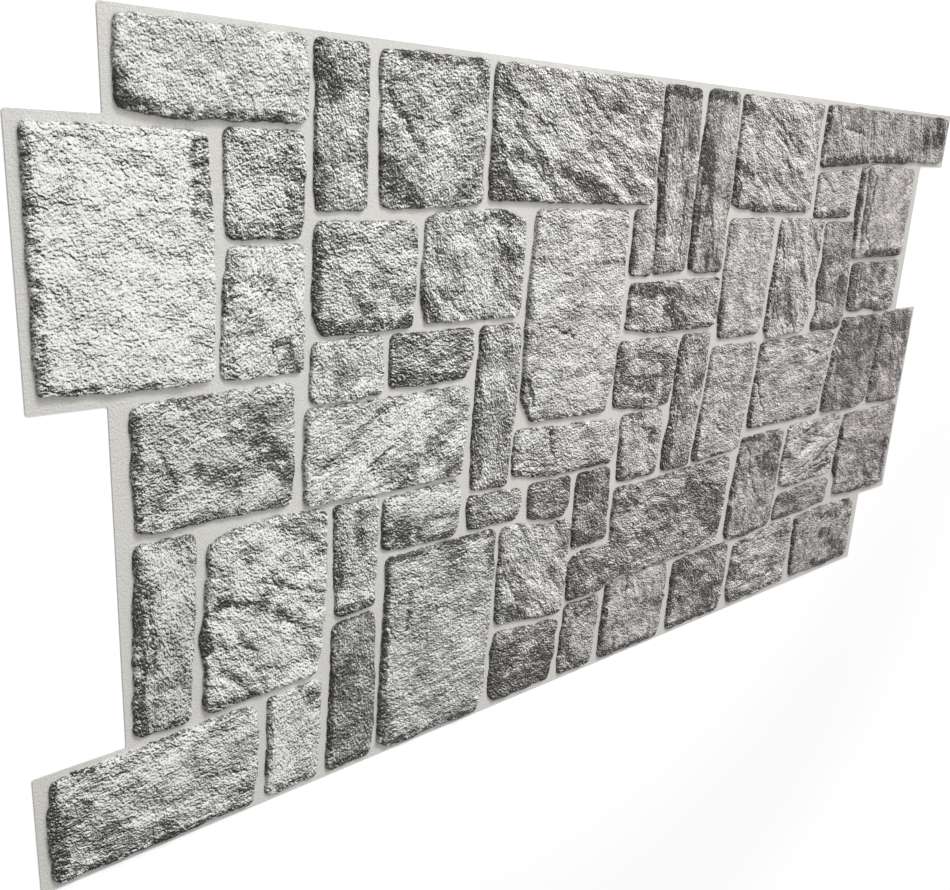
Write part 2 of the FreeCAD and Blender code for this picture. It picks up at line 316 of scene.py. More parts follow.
# The stones: hollow formed blocks of the same PVC sheet, each with drafted walls, a rounded and
# uneven rim and a split face, printed in black and grey inks, with painted highlight on raised parts
# and slopes facing the light, and painted shade in hollows, cracks and on rims facing away from it.
# Places and lengths are millimetres from the panel's lower left corner, as in the part's source.
# Dark marks along a stone's left and lower rims and walls are partly printed dark rims and partly painted
# shade of the sides that face away from the light.
STONES = {
    # name: (middle x, middle y), tone, contrast, grain angle, stretch, ledges, dark and light marks, cracks
    "top_left_slab": ((122, 470), 0.82, 0.25, 10, 1.3, 0.5,
        [(70, 449, 172, 447, 5, 0.3), (69, 462, 73, 450, 5, 0.35), (150, 488, 176, 484, 4, -0.1)], []),
    "narrow_top_upright": ((203, 446), 0.56, 0.7, 80, 1.5, 0.7,
        [(190, 488, 197, 468, 7, 0.3), (213, 486, 214, 440, 4, -0.12), (188, 430, 190, 402, 3, 0.25)], []),
    "ridge_block": ((274, 447), 0.64, 0.7, 50, 1.8, 1.3,
        [(233, 491, 312, 491, 2, 0.35), (236, 425, 260, 404, 7, 0.35), (270, 470, 300, 440, 6, -0.12),
         (300, 408, 312, 420, 5, 0.15)],
        [(233, 470, 268, 432, 2.0)]),
    "waved_slab": ((410, 449), 0.66, 0.7, 150, 2.2, 1.3,
        [(326, 438, 330, 410, 9, 0.4), (335, 425, 344, 406, 5, 0.35), (345, 436, 400, 425, 4, 0.25),
         (400, 424, 450, 406, 5, 0.35), (330, 476, 350, 470, 5, 0.25), (340, 458, 400, 446, 6, -0.1),
         (390, 486, 480, 470, 7, 0.1), (330, 405, 490, 404, 2, 0.25)],
        [(345, 472, 385, 452, 1.4), (410, 485, 440, 462, 1.4), (330, 440, 348, 408, 1.6)]),
    "upper_tall_rib": ((523, 421), 0.58, 0.6, 86, 3.0, 1.0,
        [(502, 491, 542, 490, 5, 0.4), (503, 470, 506, 400, 5, 0.25), (508, 420, 514, 380, 4, 0.2),
         (535, 488, 542, 450, 4, 0.15), (522, 440, 524, 380, 6, -0.12)],
        [(503, 450, 512, 405, 1.5), (528, 470, 531, 430, 1.2), (540, 420, 540, 360, 1.2)]),
    "second_tall_rib": ((574, 420), 0.58, 0.6, 86, 3.0, 1.0,
        [(555, 491, 594, 490, 5, 0.4), (556, 460, 566, 425, 6, 0.3), (568, 450, 572, 400, 5, 0.3),
         (555, 400, 556, 352, 3, 0.35), (580, 355, 594, 350, 6, 0.25), (583, 470, 586, 400, 5, -0.1)],
        [(556, 445, 556, 375, 1.5), (575, 410, 585, 360, 1.4)]),
    "upper_right_block": ((663, 447), 0.64, 0.7, 150, 2.0, 1.2,
        [(607, 488, 614, 482, 6, 0.4), (606, 434, 618, 430, 7, 0.4), (606, 420, 609, 406, 5, 0.45),
         (610, 400, 720, 399, 3, 0.35), (640, 470, 690, 445, 8, -0.1), (625, 440, 632, 425, 4, 0.15)],
        [(650, 480, 700, 450, 1.3)]),
    "top_right_slab": ((850, 470), 0.56, 0.6, 95, 2.4, 0.9,
        [(737, 441, 760, 442, 5, 0.55), (760, 444, 900, 449, 3.5, 0.55), (957, 491, 968, 475, 6, 0.35),
         (935, 472, 968, 470, 8, 0.25), (737, 490, 740, 470, 4, 0.25)],
        [(770, 474, 812, 470, 1.4), (925, 478, 935, 458, 1.2)]),
    "bright_block": ((68, 370), 1.03, 0.6, 3, 1.8, 0.7,
        [(20, 432, 21, 310, 3, 0.35), (112, 430, 114, 395, 6, 0.4), (22, 304, 50, 301, 4, 0.35),
         (60, 302, 115, 301, 2, 0.2)], []),
    "small_grained_cube": ((152, 412), 0.78, 1.0, 30, 1.2, 0.9,
        [(127, 386, 177, 384, 5, 0.4), (168, 430, 175, 395, 6, 0.35), (135, 425, 150, 415, 8, -0.1)], []),
    "diagonal_cube": ((150, 338), 0.88, 0.8, 50, 1.8, 1.2,
        [(126, 355, 127, 343, 4, 0.35), (163, 315, 170, 303, 7, 0.35), (126, 303, 160, 301, 2.5, 0.25)],
        [(135, 330, 160, 358, 1.2)]),
    "dark_footed_cube": ((222, 356), 0.66, 0.8, 0, 1.4, 1.0,
        [(188, 326, 258, 324, 5, 0.45), (186, 385, 187, 330, 3, 0.4), (215, 365, 235, 350, 11, -0.12)], []),
    "cracked_cube": ((313, 360), 0.7, 0.8, 120, 1.6, 1.3,
        [(325, 395, 345, 392, 5, 0.35), (342, 368, 348, 360, 6, 0.35), (270, 340, 285, 326, 5, 0.25),
         (300, 375, 325, 350, 9, -0.12)],
        [(280, 345, 312, 326, 1.6), (330, 385, 346, 362, 1.2)]),
    "small_light_cube": ((210, 298), 0.80, 0.7, 60, 1.4, 0.9, [(184, 280, 235, 279, 2, 0.25)], []),
    "small_dark_cube": ((279, 300), 0.52, 0.8, 0, 2.2, 1.0,
        [(246, 284, 312, 284, 4, 0.4), (250, 305, 300, 300, 5, 0.12)], []),
    "left_mottled_block": ((118, 253), 0.72, 1.05, 30, 1.4, 1.1,
        [(110, 245, 130, 235, 7, 0.3), (150, 256, 168, 236, 7, 0.35), (66, 286, 69, 225, 3, 0.45),
         (80, 275, 95, 240, 10, -0.1), (68, 217, 165, 216, 2.5, 0.3), (125, 268, 150, 262, 3, 0.25)],
        [(84, 262, 92, 236, 1.2)]),
    "veined_block": ((246, 242), 0.77, 0.7, 35, 1.8, 1.0,
        [(207, 213, 225, 231, 3, -0.7), (225, 231, 245, 246, 4, -0.8), (245, 246, 276, 268, 4, -0.8),
         (285, 235, 310, 212, 8, 0.22), (250, 213, 300, 211, 4, 0.2), (240, 230, 268, 216, 6, 0.12)],
        [(228, 228, 250, 241, 1.3)]),
    "bracket_rib": ((340, 255), 0.58, 1.05, 88, 2.4, 0.9,
        [(321, 310, 322, 200, 2.5, 0.3), (321, 217, 331, 217, 1.2, 0.35), (331, 217, 331, 200, 1.2, 0.35),
         (335, 196, 356, 195, 2.5, 0.25)], []),
    "tall_pale_block": ((418, 318), 0.76, 0.5, 0, 1.6, 0.6,
        [(369, 270, 372, 248, 5, 0.3), (368, 335, 369, 300, 3, 0.2), (380, 310, 420, 300, 7, 0.1),
         (370, 241, 465, 240, 2, 0.25), (458, 270, 464, 245, 4, 0.12)],
        [(372, 275, 382, 250, 1.2), (392, 312, 420, 303, 1.1)]),
    "short_infill": ((490, 372), 0.68, 0.6, 80, 1.3, 0.7,
        [(479, 368, 481, 350, 3, 0.45), (479, 395, 480, 380, 2, 0.2)], []),
    "middle_lintel": ((538, 320), 0.6, 0.7, 150, 2.0, 1.0,
        [(482, 337, 515, 332, 5, 0.4), (515, 338, 545, 328, 5, 0.3), (530, 322, 552, 305, 7, 0.35),
         (481, 301, 595, 300, 2, 0.4), (565, 325, 590, 310, 6, -0.1)],
        [(525, 330, 560, 304, 1.4), (485, 330, 515, 328, 1.2)]),
    "half_dark_cube": ((510, 264), 0.58, 1.0, 0, 1.6, 1.0,
        [(473, 282, 482, 270, 4, 0.35), (480, 256, 525, 252, 6, 0.45), (475, 240, 520, 238, 4, 0.35),
         (536, 275, 544, 240, 5, 0.3), (490, 288, 530, 284, 5, -0.08)],
        [(474, 262, 530, 258, 1.6)]),
    "middle_rib": ((568, 232), 0.49, 1.1, 88, 2.6, 0.8,
        [(555, 290, 562, 275, 6, 0.45), (553, 280, 555, 240, 5, 0.45), (552, 240, 553, 176, 6, 0.45),
         (575, 280, 577, 215, 6, -0.12), (548, 174, 578, 173, 2.5, 0.3)],
        [(558, 290, 568, 262, 1.6), (560, 250, 563, 205, 1.2)]),
    "pale_upright": ((636, 339), 0.7, 0.5, 70, 1.4, 0.7,
        [(605, 320, 606, 290, 3, 0.3), (608, 289, 665, 288, 2, 0.25)], []),
    "middle_pale_block": ((628, 226), 0.66, 0.6, 0, 1.5, 0.7,
        [(589, 212, 591, 188, 2.5, 0.6), (588, 188, 592, 174, 3, 0.5), (592, 174, 655, 173, 2, 0.3)],
        [(618, 208, 636, 194, 1.5), (627, 216, 622, 206, 1.0)]),
    "cracked_upright": ((716, 336), 0.67, 1.0, 110, 2.0, 1.4,
        [(681, 380, 683, 288, 3, 0.4), (703, 318, 724, 298, 8, 0.3), (690, 345, 695, 310, 6, 0.18),
         (730, 375, 742, 350, 7, -0.12)],
        [(705, 358, 724, 352, 1.8), (720, 354, 742, 330, 1.8), (735, 300, 732, 282, 1.6),
         (690, 380, 700, 340, 1.4), (688, 320, 712, 284, 1.5)]),
    "dark_spot_upright": ((788, 335), 0.47, 0.85, 85, 1.4, 0.9,
        [(766, 347, 771, 326, 7, 0.45), (762, 285, 814, 284, 3, 0.55), (770, 370, 800, 366, 4, 0.12),
         (795, 350, 800, 325, 7, -0.08), (808, 335, 813, 318, 4, 0.3)],
        [(765, 312, 800, 305, 1.1)]),
    "upper_infill": ((770, 414), 0.72, 0.6, 10, 1.4, 0.8,
        [(740, 394, 770, 394, 2, 0.3), (765, 395, 800, 396, 4, 0.45)],
        [(742, 432, 770, 415, 1.1)]),
    "rib_edged_block": ((864, 397), 0.71, 0.5, 45, 1.4, 0.8,
        [(813, 432, 817, 365, 2.5, 0.4), (832, 436, 838, 370, 4, 0.22), (850, 356, 912, 355, 3.5, 0.55),
         (870, 425, 905, 380, 12, -0.06)],
        [(828, 438, 834, 360, 1.6), (845, 430, 840, 375, 1.6), (838, 380, 856, 360, 1.5)]),
    "right_lintel": ((870, 321), 0.58, 0.9, 0, 1.4, 0.9,
        [(828, 342, 836, 305, 8, 0.3), (872, 338, 893, 330, 6, 0.28), (860, 301, 878, 297, 3.5, 0.55),
         (826, 298, 850, 297, 2, 0.35), (880, 296, 912, 296, 2, 0.35), (858, 295, 864, 296, 2, -0.45)],
        [(845, 340, 852, 308, 1.5), (852, 318, 905, 305, 1.1)]),
    "mottled_block": ((850, 240), 0.46, 1.15, 120, 1.5, 1.2,
        [(813, 252, 835, 243, 6, 0.48), (835, 235, 845, 229, 5, 0.4), (803, 215, 808, 195, 4, 0.5),
         (805, 240, 812, 228, 4, 0.35), (846, 198, 860, 193, 4, 0.5), (860, 250, 890, 262, 9, 0.25),
         (815, 205, 824, 195, 7, 0.25), (812, 236, 819, 226, 2.5, -0.25), (820, 281, 859, 264, 10, 0.28),
         (861, 283, 891, 275, 7, 0.25)],
        [(823, 208, 829, 192, 2.0), (868, 255, 872, 238, 1.4), (820, 262, 850, 240, 1.4)]),
    "right_end_block": ((933, 240), 0.47, 1.0, 120, 1.5, 1.2,
        [(900, 270, 910, 246, 4, 0.35), (902, 215, 912, 206, 4, 0.2), (905, 190, 963, 189, 1.5, 0.35),
         (906, 240, 935, 231, 5, 0.15), (957, 285, 964, 246, 4, 0.25), (925, 285, 940, 266, 7, 0.2),
         (930, 228, 950, 205, 9, -0.06)],
        [(915, 245, 945, 232, 1.2), (912, 280, 930, 262, 1.4)]),
    "right_smooth_block": ((908, 135), 0.6, 0.5, 160, 1.3, 0.6,
        [(850, 175, 853, 145, 3, 0.5), (851, 130, 856, 92, 3.5, 0.45), (892, 145, 958, 125, 13, 0.1),
         (900, 120, 940, 105, 9, 0.12), (905, 90, 960, 89, 3, 0.28), (858, 90, 900, 89, 2.5, 0.3),
         (925, 103, 940, 95, 5, 0.14), (870, 170, 950, 155, 10, -0.06),
         (963, 140, 964, 95, 3.5, 0.25)], []),
    "wave_ridge_block": ((795, 152), 0.7, 0.9, 25, 2.2, 1.5,
        [(745, 120, 805, 119, 2.5, 0.5), (745, 148, 775, 142, 3, 0.22), (805, 125, 840, 130, 4, 0.3),
         (810, 142, 840, 140, 5, 0.2), (785, 148, 805, 154, 3, -0.28), (755, 138, 785, 133, 3, -0.12)],
        [(760, 165, 800, 178, 1.3), (778, 148, 800, 160, 1.5), (750, 152, 775, 143, 1.5),
         (800, 128, 840, 135, 1.4), (790, 168, 840, 160, 1.1)]),
    "dark_infill": ((790, 98), 0.5, 1.1, 0, 1.2, 0.8,
        [(760, 86, 785, 88, 4, 0.35), (745, 106, 770, 98, 6, 0.25), (742, 86, 760, 86, 2, 0.3),
         (770, 100, 785, 95, 3, 0.25), (788, 97, 800, 92, 2.5, -0.15)], []),
    "right_upright": ((697, 131), 0.56, 0.6, 90, 1.4, 0.8,
        [(657, 110, 661, 80, 3.5, 0.45), (660, 150, 668, 125, 3.5, 0.25), (721, 184, 735, 165, 6, 0.25),
         (706, 160, 732, 140, 8, 0.22), (660, 80, 735, 79, 3, 0.3), (664, 182, 700, 181, 1.5, 0.3)],
        [(682, 172, 690, 142, 1.5), (690, 140, 705, 120, 1.2), (665, 178, 670, 150, 1.2)]),
    "long_joined_block": ((540, 121), 0.49, 0.9, 170, 1.8, 1.2,
        [(437, 110, 453, 74, 9, 0.35), (437, 78, 530, 77, 3, 0.35), (530, 77, 560, 76, 4, 0.45),
         (590, 150, 608, 141, 5, 0.45), (610, 132, 640, 128, 8, 0.3), (614, 118, 640, 102, 9, 0.25),
         (470, 100, 510, 88, 7, 0.2), (484, 152, 520, 146, 3, 0.3), (560, 136, 600, 131, 8, 0.12),
         (485, 142, 520, 134, 5, -0.14)],
        [(515, 125, 525, 110, 1.5), (530, 135, 545, 125, 1.3), (592, 148, 640, 140, 1.6),
         (620, 102, 645, 100, 1.3), (484, 150, 530, 142, 1.3)]),
    "dark_square": ((456, 155), 0.34, 0.8, 90, 1.3, 0.9,
        [(437, 185, 455, 165, 5, 0.22), (437, 130, 460, 124, 4, 0.3), (462, 184, 475, 165, 5, -0.1)], []),
    "square_infill": ((511, 200), 0.64, 0.8, 110, 1.4, 0.9,
        [(484, 206, 487, 174, 3.5, 0.55), (486, 175, 535, 173, 2.5, 0.3), (528, 212, 535, 205, 4, 0.25)],
        [(510, 217, 528, 211, 1.3), (526, 208, 533, 195, 1.3)]),
    "flat_lintel": ((420, 212), 0.68, 0.7, 10, 1.5, 0.6,
        [(362, 199, 395, 194, 3, 0.4), (395, 195, 475, 193, 1.5, 0.35), (405, 230, 408, 210, 1.5, 0.3),
         (362, 215, 366, 202, 3, 0.2)],
        [(366, 228, 370, 215, 1.2), (402, 228, 407, 208, 1.3), (375, 203, 410, 198, 1.1)]),
    "small_dark_infill": ((404, 172), 0.37, 0.9, 0, 1.3, 0.8,
        [(382, 180, 384, 160, 3, 0.3), (384, 158, 425, 157, 3, 0.45), (388, 186, 420, 184, 2, -0.2)], []),
    "narrow_infill": ((345, 176), 0.55, 0.9, 0, 1.3, 0.8,
        [(318, 182, 320, 166, 3, 0.35), (320, 165, 370, 165, 2, 0.4), (325, 188, 345, 188, 2, -0.15)], []),
    "pale_lintel": ((275, 184), 0.81, 0.8, 5, 1.8, 1.0,
        [(245, 174, 275, 172, 6, 0.42), (255, 181, 308, 178, 2, 0.4), (243, 168, 308, 165, 2, 0.4),
         (285, 172, 308, 170, 4, 0.15), (250, 195, 305, 190, 6, -0.12), (241, 195, 243, 168, 2, 0.35)], []),
    "dark_upright": ((219, 165), 0.71, 1.0, 85, 1.6, 1.1,
        [(201, 200, 207, 145, 4, 0.35), (203, 128, 235, 128, 4, 0.55), (222, 195, 226, 165, 3, 0.3)], []),
    "smooth_upright": ((218, 62), 0.48, 0.6, 70, 2.0, 0.8,
        [(199, 115, 206, 100, 4, -0.12), (212, 85, 222, 40, 8, 0.12), (198, 110, 199, 15, 2.5, 0.35),
         (205, 8, 232, 7, 3, 0.3)], []),
    "ridged_block": ((150, 146), 0.81, 0.7, 140, 1.6, 1.5,
        [(110, 190, 122, 162, 5, 0.2), (118, 155, 150, 148, 3, 0.38), (150, 148, 163, 139, 3, 0.38),
         (104, 142, 108, 128, 4, 0.5), (105, 88, 140, 86, 4, 0.45), (140, 87, 190, 86, 2.5, 0.3),
         (104, 200, 105, 90, 2, 0.35)],
        [(130, 132, 144, 115, 1.6), (136, 107, 157, 101, 2.2), (157, 101, 168, 95, 1.8),
         (150, 165, 195, 145, 1.5), (165, 135, 180, 122, 1.5), (118, 156, 150, 149, 1.6)]),
    "left_tall_rib": ((82, 146), 0.72, 0.8, 88, 2.4, 0.8,
        [(61, 205, 66, 165, 6, 0.5), (61, 165, 64, 86, 5, 0.45), (66, 165, 71, 125, 3, 0.25),
         (85, 195, 92, 130, 8, -0.12), (62, 86, 100, 85, 2.5, 0.3)], [(73, 180, 76, 120, 1.4)]),
    "bottom_left_slab": ((75, 40), 0.74, 0.8, 5, 1.4, 0.9,
        [(7, 72, 11, 12, 5, 0.55), (8, 7, 138, 6, 3, 0.5), (20, 48, 48, 14, 10, 0.2),
         (10, 75, 35, 73, 1.5, 0.35), (45, 68, 130, 66, 8, -0.12), (60, 15, 130, 13, 5, 0.15)], []),
    "bottom_left_cube": ((170, 42), 0.92, 0.8, 60, 1.4, 0.9,
        [(180, 80, 191, 62, 5, 0.4), (150, 75, 152, 20, 2.5, 0.4), (152, 8, 188, 8, 2.5, 0.35)], []),
    "big_streaked_block": ((294, 82), 0.66, 0.7, 12, 1.8, 0.6,
        [(243, 150, 246, 60, 3, 0.5), (242, 60, 244, 10, 3, 0.5), (244, 8, 343, 7, 3, 0.35),
         (250, 158, 345, 157, 1.5, 0.3), (244, 35, 252, 12, 6, 0.22), (345, 145, 347, 128, 3, 0.28)],
        [(268, 127, 269, 115, 2.2), (269, 115, 266, 95, 2.0), (250, 105, 256, 90, 1.2)]),
    "streaked_cube": ((392, 111), 0.64, 0.7, 130, 1.8, 0.9,
        [(356, 86, 386, 72, 7, 0.25), (353, 100, 354, 75, 3, 0.25), (395, 68, 430, 67, 2.5, 0.3),
         (400, 155, 428, 150, 4, 0.12)],
        [(357, 118, 372, 100, 1.5), (372, 100, 382, 80, 1.3)]),
    "low_dark_cube": ((388, 34), 0.42, 0.8, 0, 1.4, 1.0,
        [(352, 50, 368, 32, 7, 0.32), (352, 25, 360, 10, 6, 0.45), (360, 15, 420, 14, 5, 0.45),
         (407, 32, 424, 20, 7, 0.4), (352, 8, 424, 8, 4, 0.5), (370, 25, 395, 22, 4, -0.26)], []),
    "narrow_bottom_cube": ((453, 37), 0.58, 0.7, 80, 1.4, 0.8,
        [(432, 65, 436, 10, 2.5, 0.2), (435, 7, 473, 7, 2.5, 0.25), (440, 14, 465, 10, 4, 0.12)],
        [(450, 68, 453, 48, 1.3)]),
    "bottom_middle_block": ((526, 41), 0.62, 0.7, 110, 1.4, 0.9,
        [(482, 60, 486, 25, 2.5, 0.55), (484, 7, 565, 6, 3, 0.35), (482, 70, 490, 60, 4, 0.25)],
        [(505, 18, 509, 8, 1.2), (516, 68, 517, 57, 1.3)]),
    "bottom_dark_block": ((622, 40), 0.46, 0.8, 140, 1.6, 1.0,
        [(579, 60, 582, 20, 3, 0.55), (582, 70, 600, 60, 6, 0.35), (605, 55, 630, 50, 5, 0.28),
         (625, 35, 650, 28, 5, 0.25), (640, 25, 660, 12, 6, 0.25), (580, 8, 660, 6, 3, 0.4),
         (582, 75, 660, 74, 1.5, 0.25)], []),
    "bottom_wavy_block": ((725, 42), 0.63, 1.1, 5, 2.2, 1.4,
        [(674, 48, 700, 33, 3, 0.38), (674, 66, 682, 62, 4, 0.3), (675, 10, 775, 9, 4, 0.45),
         (675, 19, 700, 14, 3, 0.25), (720, 20, 745, 16, 5, 0.2), (675, 57, 690, 47, 2.5, -0.25),
         (674, 26, 700, 23, 2, -0.2)],
        [(675, 48, 705, 32, 2.0), (675, 30, 720, 20, 1.3), (700, 18, 760, 22, 1.3),
         (720, 66, 770, 62, 1.1)]),
    "bottom_end_block": ((847, 42), 0.6, 0.6, 60, 1.4, 0.9,
        [(787, 70, 792, 20, 3.5, 0.4), (790, 12, 800, 8, 4, 0.3), (848, 46, 865, 42, 5, 0.4),
         (835, 68, 885, 62, 3, 0.28), (842, 12, 860, 7, 4, 0.5), (862, 10, 905, 10, 3, 0.4),
         (862, 30, 905, 16, 7, 0.2), (895, 75, 906, 60, 5, 0.15)], []),
    "right_grained_block": ((737, 234), 0.66, 0.6, 0, 1.8, 0.8,
        [(671, 213, 677, 192, 6, 0.5), (678, 195, 700, 193, 3, 0.25), (680, 270, 690, 255, 4, 0.35),
         (672, 240, 676, 222, 3, 0.3), (720, 193, 798, 193, 2, 0.3)],
        [(678, 240, 690, 218, 1.3), (690, 218, 700, 205, 1.2), (760, 262, 790, 255, 1.1)]),
}
FRONT_SPACING = 1.15
BACK_SPACING = 2.3
SHOULDER = [(0.0, -0.10), (0.0, 0.14), (0.3, 0.52), (0.6, 0.80), (1.0, 0.94), (1.6, 1.0)]
LIGHT_FROM = np.array([0.39, 0.92])


def slope_noise(across, up, seed):
    """Smooth noise from about -1 to 1, with humps about 1 apart."""
    column = np.floor(across).astype(np.int64)
    row = np.floor(up).astype(np.int64)
    part_x = across - column
    part_y = up - row

    def pull(dx, dy):
        mixed = ((column + dx) * 374761393 + (row + dy) * 668265263 + seed * 974634777) & 0xFFFFFFFF
        mixed = ((mixed ^ (mixed >> 13)) * 1274126177) & 0xFFFFFFFF
        turn = (mixed ^ (mixed >> 16)) / 0xFFFFFFFF * 2 * math.pi
        return np.cos(turn) * (part_x - dx) + np.sin(turn) * (part_y - dy)

    blend_x = part_x ** 3 * (part_x * (part_x * 6 - 15) + 10)
    blend_y = part_y ** 3 * (part_y * (part_y * 6 - 15) + 10)
    lower = pull(0, 0) * (1 - blend_x) + pull(1, 0) * blend_x
    upper = pull(0, 1) * (1 - blend_x) + pull(1, 1) * blend_x
    return 1.5 * (lower * (1 - blend_y) + upper * blend_y)


def layered_noise(across, up, seed, layers, falloff=0.5):
    """Several sizes of noise added up."""
    total = 0.0
    for layer in range(layers):
        size = 2 ** layer
        total = total + slope_noise(across * size, up * size, seed + 17 * layer) * falloff ** layer
    return total


def even_points(run, count):
    """Points at even steps along a run of points."""
    steps = np.linalg.norm(np.diff(run, axis=0), axis=1)
    reached = np.concatenate([[0], np.cumsum(steps)])
    wanted = np.linspace(0, reached[-1], count)
    return np.column_stack([np.interp(wanted, reached, run[:, axis]) for axis in (0, 1)])


SIDE_POINTS = 200


def uneven_outline(outline, seed):
    """A stone's outline in fine even points, worn a little outwards, and its inward normals."""
    following = np.roll(outline, -1, axis=0)
    area = np.sum(outline[:, 0] * following[:, 1] - following[:, 0] * outline[:, 1])
    if area < 0:
        outline = outline[::-1]
    local = (outline - outline.min(0)) / (outline.max(0) - outline.min(0))
    corners = []
    for toward in ((-1, -1), (1, -1), (1, 1), (-1, 1)):
        corners.append(int(np.argmax(local @ np.array(toward))))
    sides = []
    for start, end in zip(corners, corners[1:] + corners[:1]):
        run = outline[start:end + 1] if end > start else np.vstack([outline[start:], outline[:end + 1]])
        sides.append(even_points(run, SIDE_POINTS + 1))
    fine = np.vstack([side[:-1] for side in sides])
    along = np.roll(fine, -3, axis=0) - np.roll(fine, 3, axis=0)
    inward = np.column_stack([-along[:, 1], along[:, 0]])
    inward /= np.linalg.norm(inward, axis=1)[:, None]
    wander = layered_noise(fine[:, 0] / 16, fine[:, 1] / 16, seed + 900, 4, 0.6)
    fine = fine - inward * (0.75 + 0.75 * np.clip(wander * 1.3, -1, 1))[:, None]
    lengths = [np.linalg.norm(np.diff(side, axis=0), axis=1).sum() for side in sides]
    return fine, inward, lengths


def stone_grid(fine, inward, across, up):
    """Plan points of a grid that follows the outline inwards, and how far its wall has risen."""
    last = len(SHOULDER) - 1
    places = np.zeros((up + 1, across + 1, 2))
    lifts = np.ones((up + 1, across + 1))
    for ring, (inset, lift) in enumerate(SHOULDER):
        loop = fine + inward * inset
        loop = np.vstack([loop, loop[:1]])
        wide = across - 2 * ring
        high = up - 2 * ring
        runs = []
        for side, count in enumerate((wide, high, wide, high)):
            run = loop[side * SIDE_POINTS:(side + 1) * SIDE_POINTS + 1]
            runs.append(even_points(run, count + 1))
        bottom, right = runs[0], runs[1]
        top, left = runs[2][::-1], runs[3][::-1]
        if ring == last:
            u = np.linspace(0, 1, wide + 1)[None, :, None]
            v = np.linspace(0, 1, high + 1)[:, None, None]
            filled = (1 - v) * bottom[None] + v * top[None] + (1 - u) * left[:, None] + u * right[:, None]
            filled -= (1 - u) * (1 - v) * bottom[0] + u * (1 - v) * bottom[-1]
            filled -= (1 - u) * v * top[0] + u * v * top[-1]
            places[ring:up + 1 - ring, ring:across + 1 - ring] = filled
            continue
        places[ring, ring:across + 1 - ring] = bottom
        places[up - ring, ring:across + 1 - ring] = top
        places[ring:up + 1 - ring, ring] = left
        places[ring:up + 1 - ring, across - ring] = right
        lifts[ring, ring:across + 1 - ring] = lift
        lifts[up - ring, ring:across + 1 - ring] = lift
        lifts[ring:up + 1 - ring, ring] = lift
        lifts[ring:up + 1 - ring, across - ring] = lift
    return places.reshape(-1, 2), lifts.reshape(-1)


def rim_distance(points, fine, inward):
    """How far each point is from the outline, and how much that rim faces away from the light."""
    distance = np.full(len(points), 1e9)
    shaded = np.zeros(len(points))
    away = np.clip(inward @ LIGHT_FROM, 0, 1)
    for start in range(0, len(fine), 80):
        rim = fine[start:start + 80:4]
        gaps = np.linalg.norm(points[:, None] - rim[None], axis=2)
        nearest = gaps.argmin(1)
        reach = gaps[np.arange(len(points)), nearest]
        closer = reach < distance
        distance[closer] = reach[closer]
        shaded[closer] = away[start:start + 80:4][nearest[closer]]
    return distance, shaded


def stroke_strength(points, stroke, seed):
    """How strongly a listed stroke covers each point, with an uneven edge."""
    start_x, start_y, end_x, end_y, width = stroke
    start = np.array([start_x, start_y])
    run = np.array([end_x - start_x, end_y - start_y])
    share = np.clip((points - start) @ run / max(run @ run, 1e-6), 0, 1)
    gap = np.linalg.norm(points - start - share[:, None] * run, axis=1)
    gap = gap + layered_noise(points[:, 0] / 9, points[:, 1] / 9, seed, 3) * width * 0.45
    return np.clip(1 + (0.9 * width - gap) / 2.2, 0, 1)


def split_face(points, seed, angle, stretch, ledges, cracks):
    """Height of a stone's split face about its middle level, its pitted part and its crack depth."""
    turn = math.radians(angle)
    along = (points[:, 0] * math.cos(turn) + points[:, 1] * math.sin(turn)) / stretch
    over = -points[:, 0] * math.sin(turn) + points[:, 1] * math.cos(turn)
    swell = slope_noise(points[:, 0] / 50, points[:, 1] / 50, seed) * 0.5
    bend = layered_noise(along / 20, over / 20, seed + 3, 2) * 5
    split = layered_noise((along + bend) / 19, (over + bend) / 19, seed + 5, 3, 0.55)
    levels = split * 2.4
    step = np.floor(levels)
    terraces = (step + np.clip((levels - step - 0.5) * 3.0 + 0.5, 0, 1)) / 2.4
    pits = slope_noise(along * stretch ** 0.5 / 4.4, over / 4.0, seed + 9)
    height = swell + (0.5 * terraces + 0.5 * split) * ledges * 0.8 + pits * 0.24
    depth = np.zeros(len(points))
    for number, crack in enumerate(cracks):
        start_x, start_y, end_x, end_y, width = crack
        run = np.array([end_x - start_x, end_y - start_y])
        start = np.array([start_x, start_y])
        share = (points - start) @ run / (run @ run)
        side = run[::-1] * (1, -1) / np.linalg.norm(run)
        drift = layered_noise(points[:, 0] / 7, points[:, 1] / 7, seed + 60 + number, 3) * 2.2
        gap = (points - start) @ side + drift
        within = np.clip(1.15 - np.abs(share - 0.5) * 2, 0, 0.3) / 0.3
        depth = np.maximum(depth, within * np.exp(-(gap / width) ** 2))
    return height - depth * 0.7, pits, split, depth


# The strokes in STONES are where they show on the photo flattened in the web's plane. A crown stands
# nearer the camera, so it shows farther from the camera's foot than it is, by this share.
CAMERA_FOOT = (-141.0, 439.0)
CROWN_LEAN = 0.00865
# A stroke within these distances of the lower or upper rim follows the rim, which isn't raised.
LOWER_RIM = 5.5
UPPER_RIM = 3.5
LEAST_INSET = 1.0
CRACK_INSET = 2.5
WALL_MARK_WIDTH = 2.2
# The foot of a stone in the part's solid is mostly this far inside its drawn outline.
DRAWN_MARGIN = 0.16


def on_crown(x, y, low, high, at_rim):
    """A stroke's end at its true place on the stone, and whether it was held at the left rim."""
    true_x = x - (x - CAMERA_FOOT[0]) * CROWN_LEAN
    true_y = y - (y - CAMERA_FOOT[1]) * CROWN_LEAN
    if y - low[1] < LOWER_RIM or high[1] - y < UPPER_RIM:
        true_y = y
    held = False
    if at_rim and true_x < low[0] + LEAST_INSET:
        held = low[0] + LEAST_INSET - true_x > 2
        true_x = low[0] + LEAST_INSET
    true_y = min(max(true_y, low[1] + LEAST_INSET), high[1] - LEAST_INSET)
    return round(true_x), round(true_y), held


